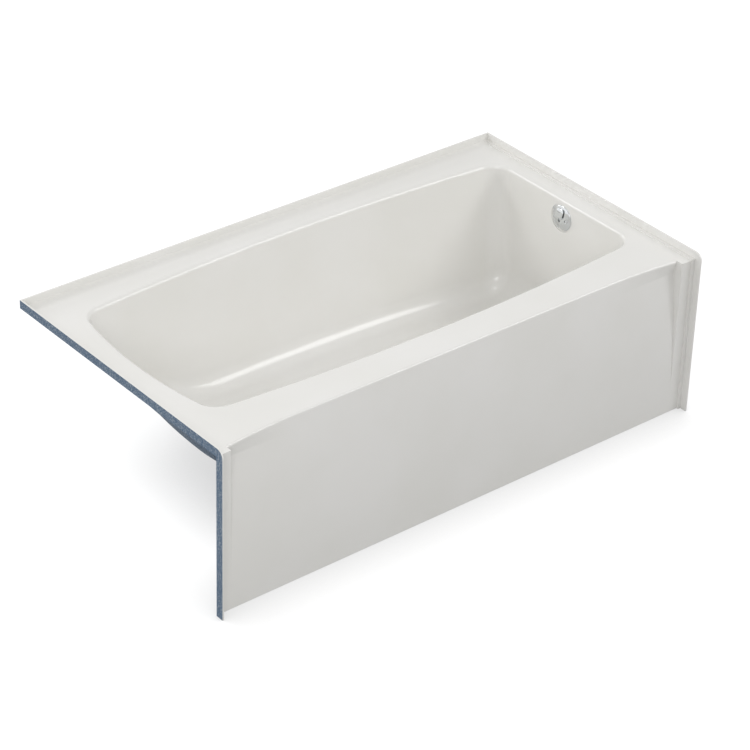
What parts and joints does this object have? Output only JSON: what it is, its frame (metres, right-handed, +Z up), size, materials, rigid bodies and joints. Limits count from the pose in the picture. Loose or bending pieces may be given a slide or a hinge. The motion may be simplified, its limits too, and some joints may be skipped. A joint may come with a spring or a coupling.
{
  "type": "alcove bathtub",
  "caption": "Alcove bathtub: one moulded white shell with tile flanges, a leaning apron and a sloped backrest, and a trip lever that works the plunger of its waste and overflow.",
  "frame": {"origin": "middle of the footprint, on the room's floor", "axes": "+X along the tub to the drain end, +Y from the apron to the back wall, +Z up"},
  "size_m": [1.524, 0.8382, 0.4762],
  "materials": {
    "gelcoat": "glossy white gelcoat on glass fibre laminate",
    "chrome": "polished plate",
    "brass": "plain, drawn and cast",
    "rubber": "moulded",
    "steel": "plain stainless",
    "plywood": "sanded sheet",
    "pine": "sawn timber"
  },
  "bodies": {
    "tub": {"tub_shell": "gelcoat", "overflow_plate": "chrome", "plate_screws": "chrome", "drain_flange": "chrome", "drain_grid": "chrome", "grid_screw": "chrome", "overflow_head": "brass", "overflow_tube": "brass", "waste_tee": "brass", "slip_nuts": "brass", "waste_shoe": "brass", "overflow_gasket": "rubber", "slip_washers": "rubber", "shoe_gasket": "rubber", "lever_pin": "steel", "base_board": "plywood", "apron_stiffener": "plywood", "rim_stiffener": "plywood", "apron_nailer": "pine", "bearer_left": "pine", "bearer_middle": "pine", "bearer_right": "pine"},
    "lever": {"trip_lever": "chrome"},
    "stopper": {"rod_clevis": "brass", "clevis_pin": "steel", "lift_rod": "brass", "rod_locknut": "brass", "plunger": "brass"}
  },
  "joints": [
    {"name": "stopper_lift", "type": "slide", "parent": "tub", "child": "stopper", "axis": [0, 0, 1], "range_m": [0, 0.017]},
    {"name": "lever_turn", "type": "hinge", "parent": "tub", "child": "lever", "pos_m": [0.70731, 0.0395, 0.39725], "axis": [0, -1, 0], "range_deg": [0, 35.4]}
  ],
  "couplings": [
    {"joint": "lever_turn", "follows": "stopper_lift", "rad_per_m": 36.26}
  ]
}
